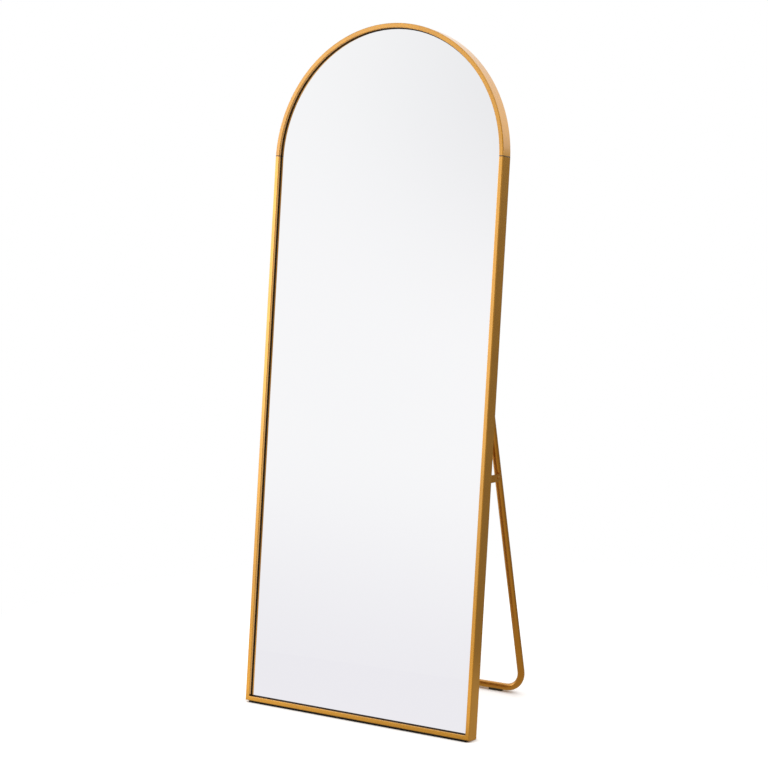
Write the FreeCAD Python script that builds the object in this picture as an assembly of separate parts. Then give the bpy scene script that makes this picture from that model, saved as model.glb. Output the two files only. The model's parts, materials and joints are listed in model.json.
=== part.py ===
"""Arched floor mirror: slim aluminium frame, round-tube U stand and folding side stays.

Frame pieces are drawn upright in the mirror's own axes (x across, v rearwards from the
frame's rear face, u up from its underside) and then leaned back.  The stand is drawn
hanging from its pivot and then swung out behind the frame.  Millimetres, +Z up, origin
on the floor at the middle of the footprint, front facing -Y.
"""
import FreeCAD, Part
import math
import os

V = FreeCAD.Vector

# ---------------------------------------------------------------- driving dimensions
FRAME_WIDTH = 700.0
FRAME_HEIGHT = 1800.0
FRAME_DEPTH = 36.0
FACE_WIDTH = 12.0
LEAN_DEG = 9.0              # frame, backwards from the vertical
OPENING_DEG = 19.1          # between the frame and the opened stand

WALL = 1.4                  # extrusion
GLASS_RECESS = 9.5          # from the front of the frame back to the glass stop
FRONT_OUTER_ROUND = 2.0
FRONT_INNER_ROUND = 1.6
REAR_LIP_WIDTH = 2.2
RIB_WIDTH = 6.0             # screw rib along the inside of the outer wall
RIB_DEPTH = 8.8
JOINT_ABOVE_SPRING = 9.0    # butt joint of the arch, above the arch's centre line
JOINT_GAP = 0.3             # hairline left between the arch and each stile

SEAL_THICK = 1.0
SEAL_SHOWS = 2.6            # strip of black seal seen past the frame's inner wall
GLASS_THICK = 4.0
FILM_THICK = 0.3
FOAM_THICK = 1.0
BOARD_THICK = 5.0
PANE_EDGE_GAP = 0.6         # between the pane's edge and the screw rib

KEY_CLEARANCE = 0.2
CORNER_KEY_LEG = 42.0
ARCH_KEY_BELOW = 45.0
ARCH_KEY_SWEEP_DEG = 6.0
GRUB_RADIUS = 2.0
GRUB_LENGTH = 4.5
GRUB_FROM_JOINT = 22.0

CLIP_LENGTH = 26.0
CLIP_THICK = 1.2
CLIP_REACH = 14.0           # across the rib and on to the board
CLIP_EDGE_GAP = 0.5         # between a clip and the frame's outer wall
CLIP_PITCH = 240.0          # greatest spacing along the straight sides
ARCH_CLIPS = 5
BOTTOM_CLIPS = 3

RAIL_HEIGHT = 30.0          # rectangular tube across the back
RAIL_DEPTH = 12.0
RAIL_WALL = 1.5
RAIL_SCREW_SPACING = 18.0
RAIL_END_GAP = 1.0
RAIL_SCREW_FROM_SIDE = 5.0   # just clear of the frame's rear lip

STRIP_THICK = 1.2           # anti-slip strip under the bottom rail, at its thin rear edge
STRIP_INSET = 10.0          # from each end
STRIP_SIDE_INSET = 4.0      # from the rail's front and rear faces

PIVOT_UP = 1075.0           # stand pivot, up the frame
PIVOT_BACK = 20.0           # stand pivot, behind the frame's rear face
LEG_FROM_SIDE = 76.5        # axis of a stand leg, in from the frame's outer face
TUBE_OUTER = 19.0
TUBE_WALL = 1.5
TUBE_BEND_RADIUS = 55.0
TUBE_PAST_PIVOT = 14.0
PLUG_CAP = 3.0
PLUG_STEM = 8.0
PLUG_CLEARANCE = 0.1

GLIDE_THICK = 3.0           # from the tube's underside to the floor
GLIDE_LENGTH = 40.0
GLIDE_WIDTH = 13.0
GLIDE_LIP = 2.6             # how far the glide laps up the tube
GLIDE_FROM_BEND = 9.0
GLIDE_CLEARANCE = 0.05

BOLT_RADIUS = 3.0
BOLT_HEAD_RADIUS = 5.6
BOLT_HEAD_HEIGHT = 4.0
NUT_HEIGHT = 6.0
BOLT_PAST_NUT = 2.0
PIN_CLEARANCE = 0.05        # running fit, on the radius
BUSH_WALL = 1.0
WASHER_THICK = 1.0
WASHER_RADIUS = 8.0
SIDE_PLAY = 0.1             # either side of a pivot washer

BRACKET_THICK = 2.5
BRACKET_HEIGHT = 24.0
BRACKET_WIDTH = 56.0
EAR_ROUND = 10.0
BRACKET_SCREW_INSET = 6.0

STAY_DROP = 445.5           # stay pin on the leg, below the stand's pivot
STAY_OFFSET = 8.5           # stay pin on the frame sits this much higher
STAY_REACH = 20.0           # from the leg's axis forward to its stay pin
STAY_WIDTH = 20.0
STAY_THICK = 2.5
STAY_GAP = 0.3              # running gap between flat stay pieces
LUG_OUT = 8.0               # the lug's middle, outwards from the leg's axis
LUG_THICK = 3.0
LUG_ROUND = 8.0
RIVET_RADIUS = 2.5
RIVET_HEAD_RADIUS = 3.8
RIVET_HEAD_HEIGHT = 1.3
ELBOW_SPACER_RADIUS = 5.0
STAY_RAIL_BELOW_PIN = 12.0  # below the leg's stay pin when folded
STAY_FOOT_WIDTH = 24.0
BUMPER_RADIUS = 7.5
BUMPER_GAP = 0.3

HANGER_FROM_BRACKET = 23.5  # between a wall hanger and the stand bracket beside it
HANGER_WIDTH = 24.0
HANGER_HEIGHT = 28.0
HANGER_THICK = 1.5
KEYHOLE_RADIUS = 4.5
KEYHOLE_SLOT_RADIUS = 2.2
KEYHOLE_SLOT_RISE = 8.0
KEYHOLE_RELIEF = 1.5        # the rail is cut away this much wider than the keyhole
HANGER_SCREW_INSET = 4.0

SCREW_RADIUS = 1.5
SCREW_HEAD_RADIUS = 2.7
SCREW_HEAD_HEIGHT = 1.6
SCREW_CLEARANCE = 0.05
SCREW_SLOT_WIDTH = 0.7
SCREW_SLOT_LENGTH = 3.4
SCREW_SLOT_DEPTH = 0.9
CLIP_SCREW_LENGTH = 8.0
SHEET_SCREW_LENGTH = 9.0
RAIL_SCREW_BITE = 6.5       # into the screw rib

# ---------------------------------------------------------------- worked out from them
HALF_WIDTH = FRAME_WIDTH / 2
SPRING_UP = FRAME_HEIGHT - HALF_WIDTH
JOINT_UP = SPRING_UP + JOINT_ABOVE_SPRING
FRONT_V = -FRAME_DEPTH
STOP_V = FRONT_V + GLASS_RECESS
RIB_INNER = WALL + RIB_WIDTH
RIB_MIDDLE = WALL + RIB_WIDTH / 2
PANE_INSET = RIB_INNER + PANE_EDGE_GAP
GLASS_V = STOP_V + SEAL_THICK
FILM_V = GLASS_V + GLASS_THICK
FOAM_V = FILM_V + FILM_THICK
BOARD_V = FOAM_V + FOAM_THICK
BOARD_REAR_V = BOARD_V + BOARD_THICK
RAIL_REAR_V = BOARD_REAR_V + RAIL_DEPTH
KEY_V = (FRONT_V + WALL + STOP_V - WALL) / 2
CHAMBER_WIDTH = FACE_WIDTH - 2 * WALL
CHAMBER_DEPTH = GLASS_RECESS - 2 * WALL
KEY_WIDTH = CHAMBER_WIDTH - 2 * KEY_CLEARANCE
KEY_DEPTH = CHAMBER_DEPTH - 2 * KEY_CLEARANCE

LEAN = math.radians(LEAN_DEG)
SWING = math.radians(OPENING_DEG - LEAN_DEG)
TUBE_R = TUBE_OUTER / 2
TUBE_BORE_R = TUBE_R - TUBE_WALL
LEG_X = HALF_WIDTH - LEG_FROM_SIDE
BUSH_R = BOLT_RADIUS + PIN_CLEARANCE + BUSH_WALL
EAR_INNER = TUBE_R + WASHER_THICK + 2 * SIDE_PLAY
EAR_OUTER = EAR_INNER + BRACKET_THICK
STAY_UP = PIVOT_UP - STAY_DROP + STAY_OFFSET
STAY_RAIL_UP = PIVOT_UP - STAY_DROP - STAY_RAIL_BELOW_PIN - RAIL_HEIGHT / 2
STAY_V = PIVOT_BACK - STAY_REACH

# flat stay pieces, in steps outwards from the leg's axis
REAR_STAY_X = LUG_OUT + LUG_THICK / 2 + STAY_GAP
LEG_RIVET_END = REAR_STAY_X + STAY_THICK + STAY_GAP + RIVET_HEAD_HEIGHT
FRONT_STAY_X = LEG_RIVET_END + STAY_GAP
STAY_EAR_X = FRONT_STAY_X + STAY_THICK + STAY_GAP

# the strip's rear lower edge and the glides are what stands on the floor
FRAME_LIFT = STRIP_THICK * math.cos(LEAN) - STRIP_SIDE_INSET * math.sin(LEAN)
FOOT_AXIS_Z = TUBE_R + GLIDE_THICK


def leaned(v, u):
    """Depth and height in the world of a point in the leaning frame's axes."""
    return (v * math.cos(LEAN) + u * math.sin(LEAN),
            FRAME_LIFT - v * math.sin(LEAN) + u * math.cos(LEAN))


PIVOT_Y, PIVOT_Z = leaned(PIVOT_BACK, PIVOT_UP)
LEG_LENGTH = (PIVOT_Z - FOOT_AXIS_Z) / math.cos(SWING)
FOOT_Y = PIVOT_Y + LEG_LENGTH * math.sin(SWING)
FRONT_Y = leaned(FRONT_V, 0)[0]
REAR_Y = max(FOOT_Y + TUBE_R, leaned(0, FRAME_HEIGHT)[0])
ORIGIN_Y = (FRONT_Y + REAR_Y) / 2


def swung(q, s):
    """Depth and height in the world of a point in the stand's axes, from its pivot."""
    return (PIVOT_Y + q * math.cos(SWING) - s * math.sin(SWING),
            PIVOT_Z + q * math.sin(SWING) + s * math.cos(SWING))


HANGER_X = LEG_X - BRACKET_WIDTH / 2 - HANGER_FROM_BRACKET - HANGER_WIDTH / 2

STAY_PIN_FRAME = leaned(STAY_V, STAY_UP)
STAY_PIN_LEG = swung(-STAY_REACH, -STAY_DROP)
STAY_SPAN = math.dist(STAY_PIN_FRAME, STAY_PIN_LEG)
FRONT_STAY_LENGTH = (STAY_SPAN - STAY_OFFSET) / 2
STAY_ELBOW = tuple(a + (b - a) * FRONT_STAY_LENGTH / STAY_SPAN
                   for a, b in zip(STAY_PIN_FRAME, STAY_PIN_LEG))

parts = {}


# ---------------------------------------------------------------- small builders
def block(x0, x1, y0, y1, z0, z1):
    return Part.makeBox(x1 - x0, y1 - y0, z1 - z0, V(x0, y0, z0))


def rod(radius, start, end):
    a, b = V(*start), V(*end)
    return Part.makeCylinder(radius, (b - a).Length, a, b - a)


def cross_rod(radius, x0, x1, y, z):
    return rod(radius, (x0, y, z), (x1, y, z))


def polygon_face(points):
    return Part.Face(Part.makePolygon(points + [points[0]]))


def prism(points, direction):
    return polygon_face(points).extrude(direction)


def mirrored(shape):
    return shape.mirror(V(0, 0, 0), V(1, 0, 0))


def lean(shape):
    """Put a piece drawn in the upright frame's axes into the world."""
    moved = shape.copy()
    moved.rotate(V(0, 0, 0), V(1, 0, 0), -LEAN_DEG)
    moved.translate(V(0, -ORIGIN_Y, FRAME_LIFT))
    return moved


def swing(shape):
    """Put a piece drawn hanging from the pivot into the world."""
    moved = shape.copy()
    moved.rotate(V(0, 0, 0), V(1, 0, 0), OPENING_DEG - LEAN_DEG)
    moved.translate(V(0, PIVOT_Y - ORIGIN_Y, PIVOT_Z))
    return moved


def recentred(shape):
    """Move a piece drawn in the world, from the frame's heel, to the part's origin."""
    moved = shape.copy()
    moved.translate(V(0, -ORIGIN_Y, 0))
    return moved


def pair(name, right_shape, place):
    """Add the right-hand piece and its mirror image as two nodes."""
    parts["right_" + name] = place(right_shape)
    parts["left_" + name] = place(mirrored(right_shape))


def compound(shapes):
    return Part.makeCompound(shapes)


def drilled(shape, holes):
    return shape.cut(holes) if holes else shape


def screw(x, u, head_v, length):
    """Slotted pan-head screw driven forwards from behind, its head seated at head_v."""
    head = rod(SCREW_HEAD_RADIUS, (x, head_v, u), (x, head_v + SCREW_HEAD_HEIGHT, u))
    shank = rod(SCREW_RADIUS, (x, head_v, u), (x, head_v - length, u))
    top = head_v + SCREW_HEAD_HEIGHT
    half, reach = SCREW_SLOT_WIDTH / 2, SCREW_SLOT_LENGTH / 2
    slots = [block(x - half, x + half, top - SCREW_SLOT_DEPTH, top, u - reach, u + reach),
             block(x - reach, x + reach, top - SCREW_SLOT_DEPTH, top, u - half, u + half)]
    return head.fuse(shank).cut(slots)


def screw_hole(x, u, v0, v1):
    return rod(SCREW_RADIUS + SCREW_CLEARANCE, (x, v0, u), (x, v1, u))


# ---------------------------------------------------------------- frame extrusion
def extrusion_face(place):
    """Cross-section of the frame, from its outer face inwards; place maps it to 3-D."""
    outer_round, inner_round = FRONT_OUTER_ROUND, FRONT_INNER_ROUND
    bow = 1 - math.sqrt(0.5)
    rib_front = BOARD_REAR_V - RIB_DEPTH
    outline = [(0, FRONT_V + outer_round), (0, 0), (REAR_LIP_WIDTH, 0), (REAR_LIP_WIDTH, -WALL),
               (WALL, -WALL), (WALL, BOARD_REAR_V), (RIB_INNER, BOARD_REAR_V),
               (RIB_INNER, rib_front), (WALL, rib_front), (WALL, STOP_V),
               (FACE_WIDTH, STOP_V), (FACE_WIDTH, FRONT_V + inner_round)]
    edges = [Part.LineSegment(place(*a), place(*b)).toShape()
             for a, b in zip(outline, outline[1:])]
    edges.append(Part.Arc(
        place(FACE_WIDTH, FRONT_V + inner_round),
        place(FACE_WIDTH - bow * inner_round, FRONT_V + bow * inner_round),
        place(FACE_WIDTH - inner_round, FRONT_V)).toShape())
    edges.append(Part.LineSegment(
        place(FACE_WIDTH - inner_round, FRONT_V), place(outer_round, FRONT_V)).toShape())
    edges.append(Part.Arc(
        place(outer_round, FRONT_V), place(bow * outer_round, FRONT_V + bow * outer_round),
        place(0, FRONT_V + outer_round)).toShape())
    chamber = polygon_face([
        place(WALL, FRONT_V + WALL), place(FACE_WIDTH - WALL, FRONT_V + WALL),
        place(FACE_WIDTH - WALL, STOP_V - WALL), place(WALL, STOP_V - WALL)])
    return Part.Face(Part.Wire(edges)).cut(chamber)


def at_right_side(u):
    return lambda s, v: V(HALF_WIDTH - s, v, u)


def mitre_wedge():
    """Everything that belongs to the bottom rail's side of the two mitres."""
    low = -FACE_WIDTH
    return prism([V(-HALF_WIDTH - low, 2 * FRONT_V, low), V(HALF_WIDTH + low, 2 * FRONT_V, low),
                  V(HALF_WIDTH - low, 2 * FRONT_V, low), V(0, 2 * FRONT_V, HALF_WIDTH),
                  V(-HALF_WIDTH + low, 2 * FRONT_V, low)][1:], V(0, -4 * FRONT_V, 0))


def side_spots(free_of):
    """Heights of the board clips on a straight side, clear of the rails at free_of."""
    low, high = CLIP_LENGTH * 2, SPRING_UP - CLIP_LENGTH
    stops = [low] + sorted(free_of) + [high]
    spots = [low, high]
    for a, b in zip(stops, stops[1:]):
        count = max(1, math.ceil((b - a) / CLIP_PITCH))
        spots += [a + (b - a) * i / count for i in range(1, count)]
    return sorted(spots)


def clip_places():
    """(x, u, turn) of each board clip; turn is 0 for a clip whose rib lies to its right."""
    inner = HALF_WIDTH - RIB_MIDDLE
    places = []
    for u in side_spots([STAY_RAIL_UP, PIVOT_UP]):
        places += [(inner, u, 0), (-inner, u, 180)]
    for i in range(1, ARCH_CLIPS + 1):
        turn = 180.0 * i / (ARCH_CLIPS + 1)
        angle = math.radians(turn)
        places.append((inner * math.cos(angle), SPRING_UP + inner * math.sin(angle), turn))
    for i in range(1, BOTTOM_CLIPS + 1):
        places.append((FRAME_WIDTH * i / (BOTTOM_CLIPS + 1) - HALF_WIDTH, RIB_MIDDLE, -90))
    return places


def rail_screw_places(rail_up):
    return [(side * (HALF_WIDTH - RAIL_SCREW_FROM_SIDE), rail_up + step * RAIL_SCREW_SPACING / 2)
            for side in (-1, 1) for step in (-1, 1)]


def grub_places():
    """(x, u) of the grub screws that lock the corner keys, then the arch keys."""
    middle = FACE_WIDTH / 2
    corner = [(HALF_WIDTH - middle, middle + GRUB_FROM_JOINT),
              (HALF_WIDTH - middle - GRUB_FROM_JOINT, middle)]
    angle = math.radians(ARCH_KEY_SWEEP_DEG * 0.6)
    radius = HALF_WIDTH - middle
    arch = [(HALF_WIDTH - middle, JOINT_UP - GRUB_FROM_JOINT),
            (radius * math.cos(angle), SPRING_UP + radius * math.sin(angle))]
    return corner, arch


def frame_holes():
    """Holes for the clip, rail and grub screws in the frame's four lengths."""
    holes = []
    for x, u, _ in clip_places():
        holes.append(screw_hole(x, u, BOARD_REAR_V + WALL,
                                BOARD_REAR_V - CLIP_SCREW_LENGTH + CLIP_THICK - 0.3))
    for rail_up in (STAY_RAIL_UP, PIVOT_UP):
        holes += [screw_hole(x, u, BOARD_REAR_V + WALL, BOARD_REAR_V - RAIL_SCREW_BITE - 0.3)
                  for x, u in rail_screw_places(rail_up)]
    for spots in grub_places():
        for x, u in spots:
            holes += [grub(side * x, u, SCREW_CLEARANCE) for side in (-1, 1)]
    return holes


def grub(x, u, extra=0.0):
    return rod(GRUB_RADIUS + extra, (x, STOP_V + extra, u), (x, STOP_V - GRUB_LENGTH, u))


def build_frame():
    wedge = mitre_wedge()
    holes = frame_holes()
    length = JOINT_UP - JOINT_GAP + FACE_WIDTH
    stile = extrusion_face(at_right_side(-FACE_WIDTH)).extrude(V(0, 0, length))
    stile = stile.cut(wedge)
    rail = extrusion_face(lambda s, v: V(-HALF_WIDTH, v, s)).extrude(V(FRAME_WIDTH, 0, 0))
    rail = rail.common(wedge)
    arch = extrusion_face(at_right_side(SPRING_UP))
    arch = arch.revolve(V(0, 0, SPRING_UP), V(0, -1, 0), 180)
    arch = arch.cut(block(-FRAME_WIDTH, FRAME_WIDTH, 2 * FRONT_V, FRAME_DEPTH,
                          SPRING_UP - FACE_WIDTH, JOINT_UP))
    for side, shape in (("right_stile", stile), ("left_stile", mirrored(stile)),
                        ("bottom_rail", rail), ("frame_arch", arch)):
        parts[side] = lean(drilled(shape, holes))


def key_face(place):
    s0, s1 = WALL + KEY_CLEARANCE, FACE_WIDTH - WALL - KEY_CLEARANCE
    v0, v1 = KEY_V - KEY_DEPTH / 2, KEY_V + KEY_DEPTH / 2
    return polygon_face([place(s0, v0), place(s1, v0), place(s1, v1), place(s0, v1)])


def build_keys():
    corner_grubs, arch_grubs = grub_places()
    s0 = WALL + KEY_CLEARANCE
    upright = key_face(at_right_side(s0)).extrude(V(0, 0, CORNER_KEY_LEG))
    flat = key_face(lambda s, v: V(HALF_WIDTH - s0, v, s)).extrude(V(-CORNER_KEY_LEG, 0, 0))
    corner = upright.fuse(flat).removeSplitter()
    corner = corner.cut([grub(x, u, SCREW_CLEARANCE) for x, u in corner_grubs])
    pair("corner_key", corner, lean)

    straight = key_face(at_right_side(JOINT_UP - ARCH_KEY_BELOW))
    straight = straight.extrude(V(0, 0, SPRING_UP - JOINT_UP + ARCH_KEY_BELOW))
    curved = key_face(at_right_side(SPRING_UP))
    curved = curved.revolve(V(0, 0, SPRING_UP), V(0, -1, 0), ARCH_KEY_SWEEP_DEG)
    arch = straight.fuse(curved).removeSplitter()
    arch = arch.cut([grub(x, u, SCREW_CLEARANCE) for x, u in arch_grubs])
    pair("arch_key", arch, lean)

    spots = [(side * x, u) for x, u in corner_grubs + arch_grubs for side in (-1, 1)]
    parts["key_grub_screws"] = lean(compound([grub(x, u) for x, u in spots]))


# ---------------------------------------------------------------- pane and its backing
def arched_plate(inset, v, thick):
    """Plate of the mirror's arched outline, inset from the frame's outer face."""
    half = HALF_WIDTH - inset
    low_left, low_right = V(-half, v, inset), V(half, v, inset)
    left, right = V(-half, v, SPRING_UP), V(half, v, SPRING_UP)
    edges = [Part.LineSegment(low_left, low_right).toShape(),
             Part.LineSegment(low_right, right).toShape(),
             Part.Arc(right, V(0, v, SPRING_UP + half), left).toShape(),
             Part.LineSegment(left, low_left).toShape()]
    return Part.Face(Part.Wire(edges)).extrude(V(0, thick, 0))


def build_pane():
    seal = arched_plate(PANE_INSET, STOP_V, SEAL_THICK)
    seal = seal.cut(arched_plate(FACE_WIDTH + SEAL_SHOWS, STOP_V, SEAL_THICK))
    parts["glass_seal"] = lean(seal)
    parts["mirror_glass"] = lean(arched_plate(PANE_INSET, GLASS_V, GLASS_THICK))
    parts["safety_film"] = lean(arched_plate(PANE_INSET, FILM_V, FILM_THICK))
    parts["foam_sheet"] = lean(arched_plate(PANE_INSET, FOAM_V, FOAM_THICK))
    parts["back_board"] = lean(arched_plate(PANE_INSET, BOARD_V, BOARD_THICK))


def board_clip(x, u, turn):
    """Flat retaining clip screwed to the rib, its tongue on the board."""
    outer = RIB_WIDTH / 2 - CLIP_EDGE_GAP
    plate = block(x + outer - CLIP_REACH, x + outer, BOARD_REAR_V, BOARD_REAR_V + CLIP_THICK,
                  u - CLIP_LENGTH / 2, u + CLIP_LENGTH / 2)
    upright = [edge for edge in plate.Edges
               if abs(edge.tangentAt(edge.FirstParameter).y) > 0.9]
    plate = plate.makeFillet(CLIP_REACH / 5, upright)
    plate = plate.cut(screw_hole(x, u, BOARD_REAR_V, BOARD_REAR_V + CLIP_THICK))
    plate.rotate(V(x, 0, u), V(0, -1, 0), turn)
    return plate


def build_clips():
    places = clip_places()
    parts["board_clips"] = lean(compound([board_clip(*place) for place in places]))
    parts["board_clip_screws"] = lean(compound(
        [screw(x, u, BOARD_REAR_V + CLIP_THICK, CLIP_SCREW_LENGTH) for x, u, _ in places]))


# ---------------------------------------------------------------- rails across the back
def bracket_screw_places():
    """Screws of the right stand bracket, either side of its ears."""
    reach = BRACKET_WIDTH / 2 - BRACKET_SCREW_INSET
    rise = BRACKET_HEIGHT / 2 - BRACKET_SCREW_INSET
    return [(LEG_X + i * reach, PIVOT_UP + j * rise) for i in (-1, 1) for j in (-1, 1)]


def stay_screw_places():
    x = LEG_X + STAY_EAR_X + BRACKET_THICK + STAY_FOOT_WIDTH / 2
    return [(x, STAY_RAIL_UP + j * RAIL_HEIGHT / 4) for j in (-1, 1)]


def hanger_screw_places():
    rise = HANGER_HEIGHT / 2 - HANGER_SCREW_INSET
    half = HANGER_WIDTH / 2 - HANGER_SCREW_INSET
    return [(HANGER_X + i * half, PIVOT_UP + j * rise) for i in (-1, 1) for j in (-1, 1)]


def keyhole(extra, v0, v1):
    """Keyhole cutter: a round entry below with a narrow slot rising from it."""
    x = HANGER_X
    low = PIVOT_UP - KEYHOLE_SLOT_RISE / 2
    narrow = KEYHOLE_SLOT_RADIUS + extra
    slot = block(x - narrow, x + narrow, v0, v1, low, low + KEYHOLE_SLOT_RISE)
    entry = rod(KEYHOLE_RADIUS + extra, (x, v0, low), (x, v1, low))
    top = rod(narrow, (x, v0, low + KEYHOLE_SLOT_RISE), (x, v1, low + KEYHOLE_SLOT_RISE))
    return slot.fuse([entry, top])


def cross_rail(rail_up, holes):
    half = HALF_WIDTH - WALL - RAIL_END_GAP
    low, high = rail_up - RAIL_HEIGHT / 2, rail_up + RAIL_HEIGHT / 2
    tube = block(-half, half, BOARD_REAR_V, RAIL_REAR_V, low, high)
    tube = tube.cut(block(-half, half, BOARD_REAR_V + RAIL_WALL, RAIL_REAR_V - RAIL_WALL,
                          low + RAIL_WALL, high - RAIL_WALL))
    through = [screw_hole(x, u, BOARD_REAR_V, RAIL_REAR_V) for x, u in rail_screw_places(rail_up)]
    return tube.cut(through + holes)


def both_sides(places):
    return [(side * x, u) for x, u in places for side in (-1, 1)]


def rear_wall_holes(places):
    return [screw_hole(x, u, RAIL_REAR_V - RAIL_WALL, RAIL_REAR_V) for x, u in both_sides(places)]


def bumper_hole(side, depth):
    x = side * LEG_X
    return screw_hole(x, STAY_RAIL_UP, RAIL_REAR_V - RAIL_WALL, RAIL_REAR_V + depth)


def build_rails():
    relief = keyhole(KEYHOLE_RELIEF, RAIL_REAR_V - RAIL_WALL, RAIL_REAR_V)
    stand_holes = rear_wall_holes(bracket_screw_places() + hanger_screw_places())
    stand_holes += [relief, mirrored(relief)]
    stay_holes = rear_wall_holes(stay_screw_places())
    stay_holes += [bumper_hole(side, 0) for side in (-1, 1)]
    parts["stand_rail"] = lean(cross_rail(PIVOT_UP, stand_holes))
    parts["stay_rail"] = lean(cross_rail(STAY_RAIL_UP, stay_holes))
    spots = rail_screw_places(PIVOT_UP) + rail_screw_places(STAY_RAIL_UP)
    length = RAIL_DEPTH + RAIL_SCREW_BITE
    parts["cross_rail_screws"] = lean(compound(
        [screw(x, u, RAIL_REAR_V, length) for x, u in spots]))


def build_hangers():
    x = HANGER_X
    rear = RAIL_REAR_V + HANGER_THICK
    plate = block(x - HANGER_WIDTH / 2, x + HANGER_WIDTH / 2, RAIL_REAR_V, rear,
                  PIVOT_UP - HANGER_HEIGHT / 2, PIVOT_UP + HANGER_HEIGHT / 2)
    corners = [edge for edge in plate.Edges
               if abs(edge.tangentAt(edge.FirstParameter).y) > 0.9]
    plate = plate.makeFillet(HANGER_SCREW_INSET / 2, corners)
    plate = plate.cut([keyhole(0, RAIL_REAR_V, rear)]
                      + [screw_hole(*spot, RAIL_REAR_V, rear) for spot in hanger_screw_places()])
    pair("wall_hanger", plate, lean)
    parts["wall_hanger_screws"] = lean(compound(
        [screw(x, u, rear, SHEET_SCREW_LENGTH) for x, u in both_sides(hanger_screw_places())]))


def build_strip():
    """Tapered strip: it fills the wedge between the leaning rail and the floor."""
    half = HALF_WIDTH - STRIP_INSET
    rear, front = -STRIP_SIDE_INSET, FRONT_V + STRIP_SIDE_INSET
    drop = STRIP_THICK + (rear - front) * math.tan(LEAN)
    section = [V(-half, rear, 0), V(-half, front, 0), V(-half, front, -drop),
               V(-half, rear, -STRIP_THICK)]
    parts["anti_slip_strip"] = lean(prism(section, V(2 * half, 0, 0)))


# ---------------------------------------------------------------- stand brackets and pivots
def ear(x0, round_radius, base_v, base_half, pin_v, pin_u, thick):
    """Upright ear plate: a foot of height 2 * base_half tapering to a round nose."""
    reach = pin_v - base_v
    rise = math.asin((base_half - round_radius) / reach) if base_half > round_radius else 0.0
    dv, du = round_radius * math.sin(rise), round_radius * math.cos(rise)
    side = polygon_face([V(x0, base_v, pin_u - base_half), V(x0, pin_v + dv, pin_u - du),
                         V(x0, pin_v + dv, pin_u + du), V(x0, base_v, pin_u + base_half)])
    nose = cross_rod(round_radius, x0, x0 + thick, pin_v, pin_u)
    return side.extrude(V(thick, 0, 0)).fuse(nose).removeSplitter()


def build_stand_brackets():
    base_rear = RAIL_REAR_V + BRACKET_THICK
    half_height = BRACKET_HEIGHT / 2
    bracket = block(LEG_X - BRACKET_WIDTH / 2, LEG_X + BRACKET_WIDTH / 2,
                    RAIL_REAR_V, base_rear, PIVOT_UP - half_height, PIVOT_UP + half_height)
    for x0 in (LEG_X - EAR_OUTER, LEG_X + EAR_INNER):
        bracket = bracket.fuse(ear(x0, EAR_ROUND, base_rear, half_height,
                                   PIVOT_BACK, PIVOT_UP, BRACKET_THICK))
    bracket = bracket.removeSplitter()
    bore = cross_rod(BOLT_RADIUS + PIN_CLEARANCE, LEG_X - EAR_OUTER, LEG_X + EAR_OUTER,
                     PIVOT_BACK, PIVOT_UP)
    holes = [screw_hole(*spot, RAIL_REAR_V, base_rear) for spot in bracket_screw_places()]
    pair("stand_bracket", bracket.cut([bore] + holes), lean)
    parts["stand_bracket_screws"] = lean(compound(
        [screw(x, u, base_rear, SHEET_SCREW_LENGTH)
         for x, u in both_sides(bracket_screw_places())]))


def hexagon(x0, x1, radius):
    points = [V(x0, PIVOT_BACK + radius * math.cos(math.radians(a)),
                PIVOT_UP + radius * math.sin(math.radians(a))) for a in range(0, 360, 60)]
    return prism(points, V(x1 - x0, 0, 0))


def build_pivots():
    nut_end = LEG_X - EAR_OUTER - NUT_HEIGHT
    shank = cross_rod(BOLT_RADIUS, nut_end - BOLT_PAST_NUT, LEG_X + EAR_OUTER,
                      PIVOT_BACK, PIVOT_UP)
    head = hexagon(LEG_X + EAR_OUTER, LEG_X + EAR_OUTER + BOLT_HEAD_HEIGHT, BOLT_HEAD_RADIUS)
    pair("pivot_bolt", shank.fuse(head).removeSplitter(), lean)

    bore = cross_rod(BOLT_RADIUS + PIN_CLEARANCE, nut_end, LEG_X + EAR_OUTER,
                     PIVOT_BACK, PIVOT_UP)
    pair("pivot_nut", hexagon(nut_end, LEG_X - EAR_OUTER, BOLT_HEAD_RADIUS).cut(bore), lean)

    washers = []
    for x0 in (LEG_X + TUBE_R + SIDE_PLAY, LEG_X - TUBE_R - SIDE_PLAY - WASHER_THICK):
        washers.append(cross_rod(WASHER_RADIUS, x0, x0 + WASHER_THICK,
                                 PIVOT_BACK, PIVOT_UP).cut(bore))
    pair("pivot_washers", compound(washers), lean)


# ---------------------------------------------------------------- U-shaped stand
def circle_wire(radius, centre, normal):
    return Part.Wire(Part.makeCircle(radius, centre, normal))


def stand_path():
    """Centre line of the U, drawn hanging from the pivot axis."""
    top, foot, bend = TUBE_PAST_PIVOT, -LEG_LENGTH, TUBE_BEND_RADIUS
    bow = bend * (1 - math.sqrt(0.5))
    left, right = [], []
    for side, store in ((-1, left), (1, right)):
        store += [V(side * LEG_X, 0, top), V(side * LEG_X, 0, foot + bend),
                  V(side * (LEG_X - bow), 0, foot + bow), V(side * (LEG_X - bend), 0, foot)]
    edges = [Part.LineSegment(left[0], left[1]), Part.Arc(*left[1:]),
             Part.LineSegment(left[3], right[3]), Part.Arc(right[3], right[2], right[1]),
             Part.LineSegment(right[1], right[0])]
    return Part.Wire([edge.toShape() for edge in edges])


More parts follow.
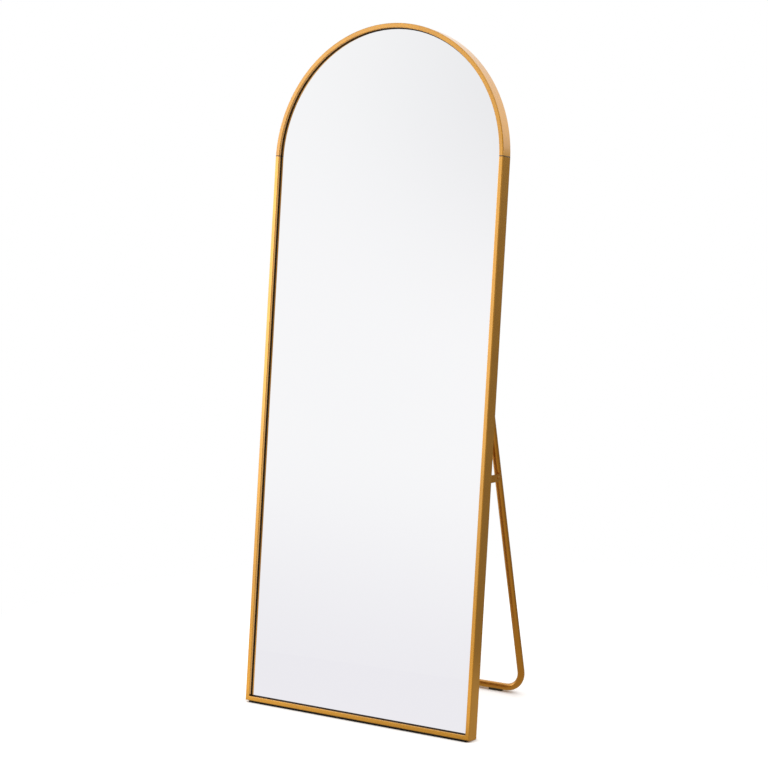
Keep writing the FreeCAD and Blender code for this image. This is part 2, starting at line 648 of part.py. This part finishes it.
def build_stand_tube():
    path = stand_path()
    start, down = V(-LEG_X, 0, TUBE_PAST_PIVOT), V(0, 0, -1)
    outer = path.makePipeShell([circle_wire(TUBE_R, start, down)], True, False)
    inner = path.makePipeShell([circle_wire(TUBE_BORE_R, start, down)], True, False)
    tube = outer.cut(inner)
    bores = [cross_rod(BUSH_R + SCREW_CLEARANCE, side * LEG_X - TUBE_R, side * LEG_X + TUBE_R,
                       0, 0) for side in (-1, 1)]
    parts["stand_tube"] = swing(tube.cut(bores))
    print("stand tube, leg from pivot to foot axis:", round(LEG_LENGTH, 1))


def build_stand_trim():
    top = TUBE_PAST_PIVOT
    cap = rod(TUBE_R, (LEG_X, 0, top), (LEG_X, 0, top + PLUG_CAP))
    cap = cap.makeFillet(PLUG_CAP / 2, [edge for edge in cap.Edges
                                        if edge.BoundBox.ZMin > top + PLUG_CAP / 2])
    stem = rod(TUBE_BORE_R - PLUG_CLEARANCE, (LEG_X, 0, top - PLUG_STEM), (LEG_X, 0, top))
    pair("tube_plug", cap.fuse(stem).removeSplitter(), swing)

    bush = cross_rod(BUSH_R, LEG_X - TUBE_R, LEG_X + TUBE_R, 0, 0)
    bush = bush.cut(cross_rod(BOLT_RADIUS + PIN_CLEARANCE, LEG_X - TUBE_R, LEG_X + TUBE_R, 0, 0))
    pair("pivot_bush", bush, swing)

    glide_end = LEG_X - TUBE_BEND_RADIUS - GLIDE_FROM_BEND
    glide = block(glide_end - GLIDE_LENGTH, glide_end, FOOT_Y - GLIDE_WIDTH / 2,
                  FOOT_Y + GLIDE_WIDTH / 2, 0, GLIDE_THICK + GLIDE_LIP)
    glide = glide.makeFillet(GLIDE_THICK / 2, [
        edge for edge in glide.Edges if abs(edge.tangentAt(edge.FirstParameter).z) > 0.9])
    glide = glide.cut(cross_rod(TUBE_R + GLIDE_CLEARANCE, 0, LEG_X, FOOT_Y, FOOT_AXIS_Z))
    pair("foot_glide", glide, recentred)


# ---------------------------------------------------------------- folding side stays
def flat_bar(x0, thick, pin_a, pin_b, bored):
    """Flat bar with round ends between two pins, given as (depth, height)."""
    ya, za = pin_a
    yb, zb = pin_b
    span = math.dist(pin_a, pin_b)
    half = STAY_WIDTH / 2
    ny, nz = -(zb - za) / span * half, (yb - ya) / span * half
    bar = prism([V(x0, ya + ny, za + nz), V(x0, ya - ny, za - nz),
                 V(x0, yb - ny, zb - nz), V(x0, yb + ny, zb + nz)], V(thick, 0, 0))
    bar = bar.fuse([cross_rod(half, x0, x0 + thick, y, z) for y, z in (pin_a, pin_b)])
    bores = [cross_rod(bored, x0, x0 + thick, y, z) for y, z in (pin_a, pin_b)]
    return bar.removeSplitter().cut(bores)


def rivet(x0, x1, pin, near_head=True, far_head=True):
    """Rivet shank from x0 to x1 with domed heads outside either end."""
    y, z = pin
    shape = cross_rod(RIVET_RADIUS, x0, x1, y, z)
    heads = []
    if near_head:
        heads.append(rivet_head(x0 - RIVET_HEAD_HEIGHT, x0, y, z, x0 - RIVET_HEAD_HEIGHT))
    if far_head:
        heads.append(rivet_head(x1, x1 + RIVET_HEAD_HEIGHT, y, z, x1 + RIVET_HEAD_HEIGHT))
    return shape.fuse(heads).removeSplitter() if heads else shape


def rivet_head(x0, x1, y, z, crown_x):
    head = cross_rod(RIVET_HEAD_RADIUS, x0, x1, y, z)
    rim = [edge for edge in head.Edges
           if abs(edge.BoundBox.XMin - crown_x) < 0.01 and edge.BoundBox.XLength < 0.01]
    return head.makeFillet(RIVET_HEAD_HEIGHT * 0.6, rim)


def build_stays():
    bore = RIVET_RADIUS + PIN_CLEARANCE
    rear_x = LEG_X + REAR_STAY_X
    front_x = LEG_X + FRONT_STAY_X
    ear_x = LEG_X + STAY_EAR_X

    lug_q = -STAY_REACH
    lug_x = LEG_X + LUG_OUT - LUG_THICK / 2
    lug = block(lug_x, lug_x + LUG_THICK, lug_q, 0, -STAY_DROP - LUG_ROUND,
                -STAY_DROP + LUG_ROUND)
    lug = lug.fuse(cross_rod(LUG_ROUND, lug_x, lug_x + LUG_THICK, lug_q, -STAY_DROP))
    lug = lug.removeSplitter().cut([
        rod(TUBE_R, (LEG_X, 0, -LEG_LENGTH), (LEG_X, 0, 0)),
        cross_rod(bore, lug_x, lug_x + LUG_THICK, lug_q, -STAY_DROP)])
    pair("stay_lug", lug, swing)
    leg_rivet = rivet(lug_x, LEG_X + LEG_RIVET_END - RIVET_HEAD_HEIGHT, (lug_q, -STAY_DROP))
    pair("leg_rivet", leg_rivet, swing)

    rear_bar = flat_bar(rear_x, STAY_THICK, STAY_PIN_LEG, STAY_ELBOW, bore)
    pair("rear_stay", rear_bar, recentred)
    inner_rivet = rivet(rear_x, rear_x + STAY_THICK, STAY_ELBOW, far_head=False)
    pair("elbow_rivet_tail", inner_rivet, recentred)

    front_bar = flat_bar(front_x, STAY_THICK, STAY_PIN_FRAME, STAY_ELBOW, bore)
    pair("front_stay", front_bar, recentred)
    spacer_x = rear_x + STAY_THICK + STAY_GAP
    outer_rivet = rivet(front_x, front_x + STAY_THICK, STAY_ELBOW, near_head=False)
    spacer = cross_rod(ELBOW_SPACER_RADIUS, spacer_x, front_x, *STAY_ELBOW)
    pair("elbow_rivet_head", outer_rivet.fuse(spacer).removeSplitter(), recentred)

    foot_rear = RAIL_REAR_V + BRACKET_THICK
    foot_end = ear_x + BRACKET_THICK + STAY_FOOT_WIDTH
    low = STAY_RAIL_UP - RAIL_HEIGHT / 2
    foot = block(ear_x, foot_end, RAIL_REAR_V, foot_rear, low, low + RAIL_HEIGHT)
    arm = prism([V(ear_x, RAIL_REAR_V, low), V(ear_x, RAIL_REAR_V, STAY_UP),
                 V(ear_x, STAY_V, STAY_UP + LUG_ROUND), V(ear_x, STAY_V + LUG_ROUND, STAY_UP),
                 V(ear_x, foot_rear + LUG_ROUND, low)], V(BRACKET_THICK, 0, 0))
    nose = cross_rod(LUG_ROUND, ear_x, ear_x + BRACKET_THICK, STAY_V, STAY_UP)
    bracket = foot.fuse([arm, nose]).removeSplitter()
    holes = [screw_hole(*spot, RAIL_REAR_V, foot_rear) for spot in stay_screw_places()]
    holes.append(cross_rod(bore, ear_x, ear_x + BRACKET_THICK, STAY_V, STAY_UP))
    pair("stay_bracket", bracket.cut(holes), lean)
    parts["stay_bracket_screws"] = lean(compound(
        [screw(x, u, foot_rear, SHEET_SCREW_LENGTH)
         for x, u in both_sides(stay_screw_places())]))
    frame_rivet = rivet(front_x - STAY_GAP, ear_x + BRACKET_THICK, (STAY_V, STAY_UP))
    pair("frame_rivet", frame_rivet, lean)


def build_bumpers():
    top = PIVOT_BACK - TUBE_R - BUMPER_GAP
    bumper = rod(BUMPER_RADIUS, (LEG_X, RAIL_REAR_V, STAY_RAIL_UP), (LEG_X, top, STAY_RAIL_UP))
    rim = [edge for edge in bumper.Edges if edge.BoundBox.YMin > top - 0.01]
    bumper = bumper.makeFillet(BUMPER_RADIUS / 4, rim)
    stem = rod(SCREW_RADIUS, (LEG_X, RAIL_REAR_V - RAIL_WALL - 2, STAY_RAIL_UP),
               (LEG_X, RAIL_REAR_V, STAY_RAIL_UP))
    pair("stand_bumper", bumper.fuse(stem).removeSplitter(), lean)


def main():
    build_frame()
    build_keys()
    build_pane()
    build_clips()
    build_rails()
    build_hangers()
    build_strip()
    build_stand_brackets()
    build_pivots()
    build_stand_tube()
    build_stand_trim()
    build_stays()
    build_bumpers()
    os.makedirs("parts", exist_ok=True)
    for name, shape in sorted(parts.items()):
        if not shape.isValid():
            print("invalid:", name)
        shape.exportStep(os.path.join("parts", name + ".step"))
    print(len(parts), "nodes")
    print("pivot (y, z):", round(PIVOT_Y - ORIGIN_Y, 3), round(PIVOT_Z, 3))
    print("stay pin on frame:", [round(a, 3) for a in
                                 (STAY_PIN_FRAME[0] - ORIGIN_Y, STAY_PIN_FRAME[1])])
    print("stay pin on leg:", [round(a, 3) for a in
                               (STAY_PIN_LEG[0] - ORIGIN_Y, STAY_PIN_LEG[1])])
    print("stay elbow:", [round(a, 3) for a in (STAY_ELBOW[0] - ORIGIN_Y, STAY_ELBOW[1])])


main()
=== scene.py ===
import json
import math

import bpy
from mathutils import Matrix, Vector


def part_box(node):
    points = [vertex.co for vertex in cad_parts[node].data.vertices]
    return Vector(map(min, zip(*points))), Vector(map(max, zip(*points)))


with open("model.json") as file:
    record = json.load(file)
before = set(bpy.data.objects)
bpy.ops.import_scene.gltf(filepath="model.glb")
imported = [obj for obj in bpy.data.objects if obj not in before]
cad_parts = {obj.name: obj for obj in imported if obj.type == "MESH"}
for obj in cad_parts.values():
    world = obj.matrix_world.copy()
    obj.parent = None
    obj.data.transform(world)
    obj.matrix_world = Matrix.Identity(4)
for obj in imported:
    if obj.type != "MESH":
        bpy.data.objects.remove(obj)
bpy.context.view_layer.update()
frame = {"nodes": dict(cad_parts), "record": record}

scene = bpy.context.scene
scene.view_settings.view_transform = "Standard"


def linear(r, g, b):
    """Linear colour of an sRGB triple out of 255."""
    out = []
    for v in (r, g, b):
        v /= 255.0
        out.append(v / 12.92 if v <= 0.04045 else ((v + 0.055) / 1.055) ** 2.4)
    return (*out, 1.0)


# ------------------------------------------------------------------ named values (lengths in metres)
LEAN = math.radians(9.0)             # of the frame, backwards
FRAME_UP = (0.0, math.sin(LEAN), math.cos(LEAN))
ARCH_RADIUS = 0.35

GOLD_LIGHT, GOLD_DEEP = linear(216, 158, 48), linear(205, 146, 36)
STEEL_LIGHT, STEEL_DEEP = linear(206, 146, 44), linear(192, 132, 34)
# painted shade: dark brown for the thin line where stile meets arch, standing in for the shadow in
# the joint's gap
SEAM_PAINTED_SHADE = linear(92, 60, 22)
SEAM_ENDS, SEAM_FULL = 0.0022, 0.0008     # from the middle of the painted shade line drawn at a butt joint
LONG_GRAIN = 0.012                   # squeeze that draws the grain out along a length of metal
FINE_SHARE = 0.55                    # of the grain in the mottling; the rest is broad blotches
MOTTLING = (0.3, 0.7)                # mottling levels that show the first and second colour pure
COAT_ROUGHNESS, COAT_IOR = 0.14, 1.8
SMOOTH_BELOW = math.radians(28.0)    # edges flatter than this are shaded smooth

WHITE = (1.0, 1.0, 1.0, 1.0)
BACKDROP_SHADE = (0.86, 0.86, 0.87, 1.0)
MIRRORED_LOW = (0.9, 0.89, 0.92, 1.0)
FLOOR_IN_FRONT = (1.3, 1.12, 0.68, 1.0)
FLOOR_BASE = (0.9, 0.9, 0.9, 1.0)
LIT_LEVEL = 0.72                     # of the studio as light on matt surfaces

UP, ACROSS = (0.0, 0.0, 1.0), (1.0, 0.0, 0.0)
TO_LEFT, TO_BACK = (-0.95, 0.3, 0.0), (0.3, 0.95, 0.0)
TO_SOFT_BOX = (-0.82, -0.57, 0.0)
FLOOR_REARWARDS = (0.55, 0.83, 0.0)

FLOOR_RADIUS, FLOOR_CORNERS = 4.5, 96
CONTACT_REACH, CONTACT_SAMPLES = 0.05, 12
CONTACT_ENDS = (0.3, 0.95)           # openness of the floor where its glow starts and is full
FLOOR_GLOW = 0.5                     # lifts the lit floor to white away from contact
FAR_STARTS, FAR_FULL = 0.9, 1.6      # from the origin, where the floor turns plain white

CAMERA_AT = (2.86381, -4.317454, 1.67509)
CAMERA_YAW, CAMERA_PITCH, CAMERA_ROLL = 33.6681, 8.9867, -1.7     # degrees
FOCAL_PIXELS, PHOTO_PIXELS = 2009.972, 768.0
SENSOR_WIDTH = 36.0                  # millimetres
VIEW_DEPTH = 60.0


# ------------------------------------------------------------------ node helpers
def tree_of(material):
    material.use_nodes = True
    tree = material.node_tree
    tree.nodes.clear()
    return tree


def add(tree, kind, **inputs):
    """A new node with constants on its inputs; an underscore stands for a space in a name."""
    node = tree.nodes.new(kind)
    for name, value in inputs.items():
        node.inputs[name.replace("_", " ")].default_value = value
    return node


def maths(tree, operation, a, b=None):
    node = tree.nodes.new("ShaderNodeMath")
    node.operation = operation
    for socket, value in zip(node.inputs, (a, b)):
        if value is None:
            continue
        if isinstance(value, (int, float)):
            socket.default_value = value
        else:
            tree.links.new(value, socket)
    return node.outputs[0]


def smooth(tree, value, low, high):
    """0 where value is below low, 1 above high, smooth between; low may be the larger."""
    node = tree.nodes.new("ShaderNodeMapRange")
    node.interpolation_type = "SMOOTHSTEP"
    tree.links.new(value, node.inputs["Value"])
    node.inputs["From Min"].default_value = min(low, high)
    node.inputs["From Max"].default_value = max(low, high)
    node.inputs["To Min"].default_value = 0.0 if low < high else 1.0
    node.inputs["To Max"].default_value = 1.0 if low < high else 0.0
    return node.outputs["Result"]


def mix_colour(tree, factor, a, b):
    node = tree.nodes.new("ShaderNodeMix")
    node.data_type = "RGBA"
    sockets = [s for s in node.inputs if s.enabled]
    for socket, value in zip(sockets, (factor, a, b)):
        if isinstance(value, tuple):
            socket.default_value = value
        else:
            tree.links.new(value, socket)
    return [s for s in node.outputs if s.enabled][0]


def vector_maths(tree, operation, vector, constant=None):
    node = tree.nodes.new("ShaderNodeVectorMath")
    node.operation = operation
    tree.links.new(vector, node.inputs[0])
    if constant is not None:
        node.inputs[1].default_value = constant
    return node


def dot(tree, vector, direction):
    return vector_maths(tree, "DOT_PRODUCT", vector, direction).outputs["Value"]


def stretched(tree, vector, scale):
    return vector_maths(tree, "MULTIPLY", vector, scale).outputs["Vector"]


def noise(tree, vector, scale, detail, roughness):
    node = add(tree, "ShaderNodeTexNoise", Scale=scale, Detail=detail, Roughness=roughness)
    tree.links.new(vector, node.inputs["Vector"])
    return node.outputs[0]


def place_of(tree):
    return tree.nodes.new("ShaderNodeTexCoord").outputs["Object"]


def bumped(tree, shader, height, strength, distance):
    bumps = add(tree, "ShaderNodeBump", Strength=strength, Distance=distance)
    tree.links.new(height, bumps.inputs["Height"])
    tree.links.new(bumps.outputs[0], shader.inputs["Normal"])


def finish_with(tree, kind, shader_output):
    out = tree.nodes.new(kind)
    tree.links.new(shader_output, out.inputs["Surface"])


def choose(tree, shader_a, shader_b, factor):
    node = tree.nodes.new("ShaderNodeMixShader")
    tree.links.new(factor, node.inputs[0])
    tree.links.new(shader_a, node.inputs[1])
    tree.links.new(shader_b, node.inputs[2])
    return node.outputs[0]


# ------------------------------------------------------------------ materials
def round_the_arch(tree, where, centre_height):
    """Places as radius, depth and way round the arch, for grain that follows its bend."""
    split = tree.nodes.new("ShaderNodeSeparateXYZ")
    tree.links.new(where, split.inputs[0])
    across, depth = split.outputs["X"], split.outputs["Y"]
    above = maths(tree, "SUBTRACT", split.outputs["Z"], centre_height)
    up = maths(tree, "DIVIDE", above, math.cos(LEAN))
    squares = maths(tree, "ADD", maths(tree, "MULTIPLY", across, across),
                    maths(tree, "MULTIPLY", up, up))
    turn = maths(tree, "MULTIPLY", maths(tree, "ARCTAN2", up, across), ARCH_RADIUS)
    join = tree.nodes.new("ShaderNodeCombineXYZ")
    tree.links.new(maths(tree, "SQRT", squares), join.inputs["X"])
    tree.links.new(depth, join.inputs["Y"])
    tree.links.new(turn, join.inputs["Z"])
    return join.outputs[0]


def surface(name, colour_a, colour_b, rough, rough_span, metallic=0.0, along=(1.0, 1.0, 1.0),
            grain=900.0, bump=0.00002, blotch=14.0, coat=0.0, shine=0.5, arch=None, shaded_seam_height=None):
    """Satin or matt surface: two close colours mottled together, fine grain, soft bump.

    rough_span is how far the mottling moves the roughness; along stretches the grain; shine is
    the strength of the reflection off a non-metal; arch, the height of an arch's centre, turns
    the grain round it; the seam height, along the leaning frame, paints a thin line of shade
    across the colour there, standing in for the shadow in a butt joint's gap.
    """
    material = bpy.data.materials.new(name)
    tree = tree_of(material)
    where = place_of(tree)
    grain_at = where if arch is None else round_the_arch(tree, where, arch)
    fine = noise(tree, stretched(tree, grain_at, along), scale=grain, detail=4.0, roughness=0.6)
    wide = noise(tree, where, scale=blotch, detail=2.0, roughness=0.5)
    shade = maths(tree, "ADD", maths(tree, "MULTIPLY", fine, FINE_SHARE),
                  maths(tree, "MULTIPLY", wide, 1.0 - FINE_SHARE))
    shader = add(tree, "ShaderNodeBsdfPrincipled", Metallic=metallic, Specular_IOR_Level=shine,
                 Coat_Weight=coat, Coat_Roughness=COAT_ROUGHNESS, Coat_IOR=COAT_IOR)
    colour = mix_colour(tree, smooth(tree, shade, *MOTTLING), colour_a, colour_b)
    # painted shade: near the seam height the colour turns dark, for the shadow in the butt joint's
    # gap
    if shaded_seam_height is not None:
        off = maths(tree, "ABSOLUTE", maths(tree, "SUBTRACT", dot(tree, where, FRAME_UP), shaded_seam_height))
        colour = mix_colour(tree, smooth(tree, off, SEAM_ENDS, SEAM_FULL), colour, SEAM_PAINTED_SHADE)
    tree.links.new(colour, shader.inputs["Base Color"])
    tree.links.new(maths(tree, "ADD", maths(tree, "MULTIPLY", shade, rough_span),
                         rough - rough_span / 2), shader.inputs["Roughness"])
    bumped(tree, shader, fine, strength=1.0, distance=bump)
    finish_with(tree, "ShaderNodeOutputMaterial", shader.outputs[0])
    return material


def silvered():
    """Silvered glass: clear reflection with the faintest waviness of float glass."""
    material = bpy.data.materials.new("silvered_glass")
    tree = tree_of(material)
    where = place_of(tree)
    shader = add(tree, "ShaderNodeBsdfPrincipled", Metallic=1.0, Roughness=0.0)
    tint = noise(tree, where, scale=0.9, detail=1.0, roughness=0.4)
    tree.links.new(mix_colour(tree, tint, linear(244, 245, 246), linear(249, 248, 250)),
                   shader.inputs["Base Color"])
    waves = noise(tree, where, scale=2.2, detail=1.0, roughness=0.4)
    bumped(tree, shader, waves, strength=0.4, distance=0.00002)
    finish_with(tree, "ShaderNodeOutputMaterial", shader.outputs[0])
    return material


def make_golds():
    """The frame's three golds, whose grain runs along each length, and the steel's gold."""
    _, arch_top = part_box("frame_arch")
    arch_centre = arch_top.z - ARCH_RADIUS * math.cos(LEAN)
    stile = frame["nodes"]["right_stile"].data
    # top of the stile, where the painted shade line of the joint goes on the upright and arch golds
    joint = max(Vector(FRAME_UP).dot(v.co) for v in stile.vertices)
    gold = dict(metallic=1.0, rough_span=0.06, grain=1100.0, bump=0.000012, coat=0.9)
    return {
        "stile": surface("satin_gold_upright", GOLD_LIGHT, GOLD_DEEP, rough=0.22,
                         along=(1.0, 1.0, LONG_GRAIN), shaded_seam_height=joint, **gold),
        "rail": surface("satin_gold_level", GOLD_LIGHT, GOLD_DEEP, rough=0.27,
                        along=(LONG_GRAIN, 1.0, 1.0), **gold),
        "arch": surface("satin_gold_arch", GOLD_LIGHT, GOLD_DEEP, rough=0.4,
                        along=(1.0, 1.0, LONG_GRAIN), arch=arch_centre, shaded_seam_height=joint, **gold),
        "gold_steel": surface("satin_gold_steel", STEEL_LIGHT, STEEL_DEEP, metallic=1.0,
                              rough=0.26, rough_span=0.08, grain=700.0, bump=0.00001, coat=0.6),
    }


def make_plain_slots():
    """The other slots: rubber, film, foam, board, zinc, die-cast metal and nylon."""
    return {
        "black_seal": surface("black_seal", linear(26, 18, 10), linear(38, 27, 16),
                              rough=0.6, rough_span=0.15, grain=500.0),
        "clear_film": surface("safety_film", linear(190, 196, 200), linear(205, 210, 212),
                              rough=0.25, rough_span=0.1),
        "foam": surface("foam_sheet", linear(228, 228, 222), linear(240, 240, 236),
                        rough=0.9, rough_span=0.1, grain=420.0, bump=0.0002),
        "board": surface("fibreboard", linear(177, 145, 109), linear(188, 157, 120),
                         rough=0.72, rough_span=0.18, grain=260.0, bump=0.00006, blotch=9.0),
        "zinc": surface("zinc_plate", linear(176, 178, 180), linear(206, 207, 205), metallic=1.0,
                        rough=0.33, rough_span=0.16, grain=600.0, bump=0.00001, blotch=120.0),
        "key_metal": surface("die_cast", linear(168, 170, 173), linear(190, 191, 193),
                             metallic=1.0, rough=0.5, rough_span=0.12, grain=500.0, bump=0.00003),
        "black_rubber": surface("black_rubber", linear(16, 13, 11), linear(26, 23, 20),
                                rough=0.7, rough_span=0.15, grain=450.0, bump=0.00004, shine=0.15),
        "black_nylon": surface("black_nylon", linear(20, 20, 21), linear(32, 32, 33),
                               rough=0.42, rough_span=0.12, grain=600.0),
        "white_nylon": surface("white_nylon", linear(214, 213, 208), linear(228, 227, 222),
                               rough=0.4, rough_span=0.1, grain=600.0),
    }


def dress_nodes():
    """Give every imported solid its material; the frame's lengths go by node, the rest by slot."""
    made = {**make_golds(), **make_plain_slots(), "silvered_glass": silvered()}
    by_node = {"left_stile": "stile", "right_stile": "stile",
               "bottom_rail": "rail", "frame_arch": "arch"}
    slot_of = {s["node"]: s["material_slot"] for s in frame["record"]["subparts"]}
    for name, obj in frame["nodes"].items():
        mesh = obj.data
        mesh.materials.clear()
        mesh.materials.append(made[by_node.get(name, slot_of[name])])
        for polygon in mesh.polygons:
            polygon.use_smooth = True
        mesh.set_sharp_from_angle(angle=SMOOTH_BELOW)


# ------------------------------------------------------------------ floor, world, light
def pale(level):
    """A neutral level of the studio round the object."""
    return (level, level * 0.98, level * 0.97, 1.0)


def warm(level):
    """A warm level, for what lies away from the soft box."""
    return (level, level * 0.82, level * 0.42, 1.0)


SOFT_BOX, LEFT_SIDE, BEHIND, OVERHEAD = pale(2.8), pale(0.95), pale(1.15), pale(1.0)
DIM_SIDES, DIM_BEHIND = warm(0.52), warm(0.32)


def rays(tree):
    """Camera rays, the sharp rays off the mirror, and all rays off metal or through film."""
    path = tree.nodes.new("ShaderNodeLightPath").outputs
    shiny = maths(tree, "MAXIMUM", path["Is Glossy Ray"], path["Is Transmission Ray"])
    sharp = maths(tree, "MULTIPLY", path["Is Singular Ray"], path["Is Glossy Ray"])
    return path["Is Camera Ray"], sharp, shiny


def backdrop_in_mirror(tree, way):
    """The pale backdrop in front, as the mirror shows it: greyer low down and upper right."""
    height = dot(tree, way, UP)
    upper_right = maths(tree, "MULTIPLY", smooth(tree, dot(tree, way, ACROSS), -0.6, -0.46),
                        smooth(tree, height, 0.12, 0.26))
    seen = mix_colour(tree, upper_right, WHITE, BACKDROP_SHADE)
    return mix_colour(tree, smooth(tree, height, 0.08, -0.06), seen, MIRRORED_LOW)


def studio_on_metal(tree, way):
    """The studio round the object, as satin metal shows it: a wide soft box, front left.

    The pairs of numbers say how far a ray points along a direction, 1 being straight along it,
    where one level starts to give way to the next and where it is gone.
    """
    height = dot(tree, way, UP)
    left = smooth(tree, dot(tree, way, TO_LEFT), 0.0, 0.6)
    level = mix_colour(tree, left, DIM_SIDES, LEFT_SIDE)
    behind = smooth(tree, dot(tree, way, TO_BACK), 0.35, 0.8)
    level = mix_colour(tree, behind, level, BEHIND)
    behind_low = maths(tree, "MULTIPLY", behind, smooth(tree, height, 0.05, -0.01))
    level = mix_colour(tree, behind_low, level, DIM_BEHIND)
    level = mix_colour(tree, smooth(tree, height, 0.35, 0.8), level, OVERHEAD)
    box = maths(tree, "MULTIPLY", smooth(tree, dot(tree, way, TO_SOFT_BOX), 0.85, 0.97),
                smooth(tree, height, -0.04, 0.14))
    return mix_colour(tree, box, level, SOFT_BOX)


def build_world():
    """White to the camera, a studio to metal and mirror, plain light to the rest."""
    world = bpy.data.worlds.new("studio")
    scene.world = world
    tree = tree_of(world)
    camera_ray, sharp, shiny = rays(tree)
    way = tree.nodes.new("ShaderNodeTexCoord").outputs["Generated"]
    lit = add(tree, "ShaderNodeBackground", Color=WHITE, Strength=LIT_LEVEL)
    white = add(tree, "ShaderNodeBackground", Color=WHITE, Strength=1.0)
    mirrored = add(tree, "ShaderNodeBackground", Strength=1.0)
    tree.links.new(backdrop_in_mirror(tree, way), mirrored.inputs["Color"])
    studio = add(tree, "ShaderNodeBackground", Strength=1.0)
    tree.links.new(studio_on_metal(tree, way), studio.inputs["Color"])
    seen = choose(tree, lit.outputs[0], studio.outputs[0], shiny)
    seen = choose(tree, seen, mirrored.outputs[0], sharp)
    seen = choose(tree, seen, white.outputs[0], camera_ray)
    finish_with(tree, "ShaderNodeOutputWorld", seen)


def lit_floor(tree, camera_ray):
    """Matt floor that takes the shadows, lifted for the camera where nothing is close to it."""
    shader = add(tree, "ShaderNodeBsdfPrincipled", Roughness=0.9, Base_Color=FLOOR_BASE,
                 Specular_IOR_Level=0.0)
    contact = add(tree, "ShaderNodeAmbientOcclusion", Distance=CONTACT_REACH)
    contact.samples = CONTACT_SAMPLES
    open_floor = maths(tree, "MULTIPLY", smooth(tree, contact.outputs["AO"], *CONTACT_ENDS),
                       FLOOR_GLOW)
    glow = add(tree, "ShaderNodeEmission", Color=WHITE)
    tree.links.new(maths(tree, "MULTIPLY", camera_ray, open_floor), glow.inputs["Strength"])
    both = tree.nodes.new("ShaderNodeAddShader")
    tree.links.new(shader.outputs[0], both.inputs[0])
    tree.links.new(glow.outputs[0], both.inputs[1])
    return both.outputs[0]


def floor_on_metal(tree, where):
    """The floor as satin metal shows it: bright and warm in front, dim behind the frame.

    The pairs of numbers are metres from the origin along a direction.
    """
    rearwards = smooth(tree, dot(tree, where, FLOOR_REARWARDS), -1.0, -0.1)
    level = mix_colour(tree, rearwards, FLOOR_IN_FRONT, DIM_SIDES)
    behind = smooth(tree, dot(tree, where, TO_BACK), 0.2, 0.8)
    return mix_colour(tree, behind, level, DIM_BEHIND)


def floor_material():
    """White floor: shadowed near the object, plain white to the camera far off."""
    material = bpy.data.materials.new("floor")
    tree = tree_of(material)
    camera_ray, sharp, shiny = rays(tree)
    where = place_of(tree)
    white = add(tree, "ShaderNodeEmission", Color=WHITE, Strength=1.0)
    distance = vector_maths(tree, "LENGTH", where).outputs["Value"]
    far = maths(tree, "MULTIPLY", camera_ray, smooth(tree, distance, FAR_STARTS, FAR_FULL))
    seen = choose(tree, lit_floor(tree, camera_ray), white.outputs[0], far)
    studio = add(tree, "ShaderNodeEmission", Strength=1.0)
    tree.links.new(floor_on_metal(tree, where), studio.inputs["Color"])
    seen = choose(tree, seen, studio.outputs[0], shiny)
    mirrored = add(tree, "ShaderNodeEmission", Color=MIRRORED_LOW, Strength=1.0)
    seen = choose(tree, seen, mirrored.outputs[0], sharp)
    finish_with(tree, "ShaderNodeOutputMaterial", seen)
    return material


def build_floor():
    """A round flat floor; it is staging, no piece of the object."""
    mesh = bpy.data.meshes.new("floor")
    turns = [math.tau * i / FLOOR_CORNERS for i in range(FLOOR_CORNERS)]
    rim = [(FLOOR_RADIUS * math.cos(turn), FLOOR_RADIUS * math.sin(turn), 0.0)
           for turn in turns]
    mesh.from_pydata(rim, [], [tuple(range(FLOOR_CORNERS))])
    floor = bpy.data.objects.new("floor", mesh)
    scene.collection.objects.link(floor)
    mesh.materials.append(floor_material())


def area_lamp(name, location, target, side, power):
    """A square soft lamp that lights matt surfaces and shows in no reflection."""
    light = bpy.data.lights.new(name, "AREA")
    light.shape = "RECTANGLE"
    light.size = light.size_y = side
    light.energy = power
    lamp = bpy.data.objects.new(name, light)
    scene.collection.objects.link(lamp)
    lamp.location = location
    towards = Vector(target) - Vector(location)
    lamp.rotation_euler = towards.to_track_quat("-Z", "Y").to_euler()
    lamp.visible_camera = False
    lamp.visible_glossy = False


# ------------------------------------------------------------------ camera
def build_camera():
    """The photo's camera, turned left and down from the front, with a slight roll."""
    yaw, pitch, roll = (math.radians(a) for a in (CAMERA_YAW, CAMERA_PITCH, CAMERA_ROLL))
    level_ahead = Vector((-math.sin(yaw), math.cos(yaw), 0.0))
    ahead = level_ahead * math.cos(pitch) - Vector(UP) * math.sin(pitch)
    right = Vector((math.cos(yaw), math.sin(yaw), 0.0))
    up = right.cross(ahead)
    turned_right = math.cos(roll) * right + math.sin(roll) * up
    turned_up = -math.sin(roll) * right + math.cos(roll) * up
    camera = bpy.data.objects.new("camera", bpy.data.cameras.new("camera"))
    scene.collection.objects.link(camera)
    camera.data.sensor_width = SENSOR_WIDTH
    camera.data.lens = FOCAL_PIXELS * SENSOR_WIDTH / PHOTO_PIXELS
    camera.data.clip_end = VIEW_DEPTH
    axes = Matrix((turned_right, turned_up, -ahead)).transposed().to_4x4()
    camera.matrix_world = Matrix.Translation(CAMERA_AT) @ axes
    scene.camera = camera


dress_nodes()
build_world()
build_floor()
area_lamp("key", location=(-2.2, -3.0, 4.2), target=(0.0, 0.0, 0.7), side=2.4, power=70.0)
area_lamp("fill", location=(3.2, -1.8, 2.6), target=(0.0, 0.0, 0.8), side=2.0, power=18.0)
build_camera()
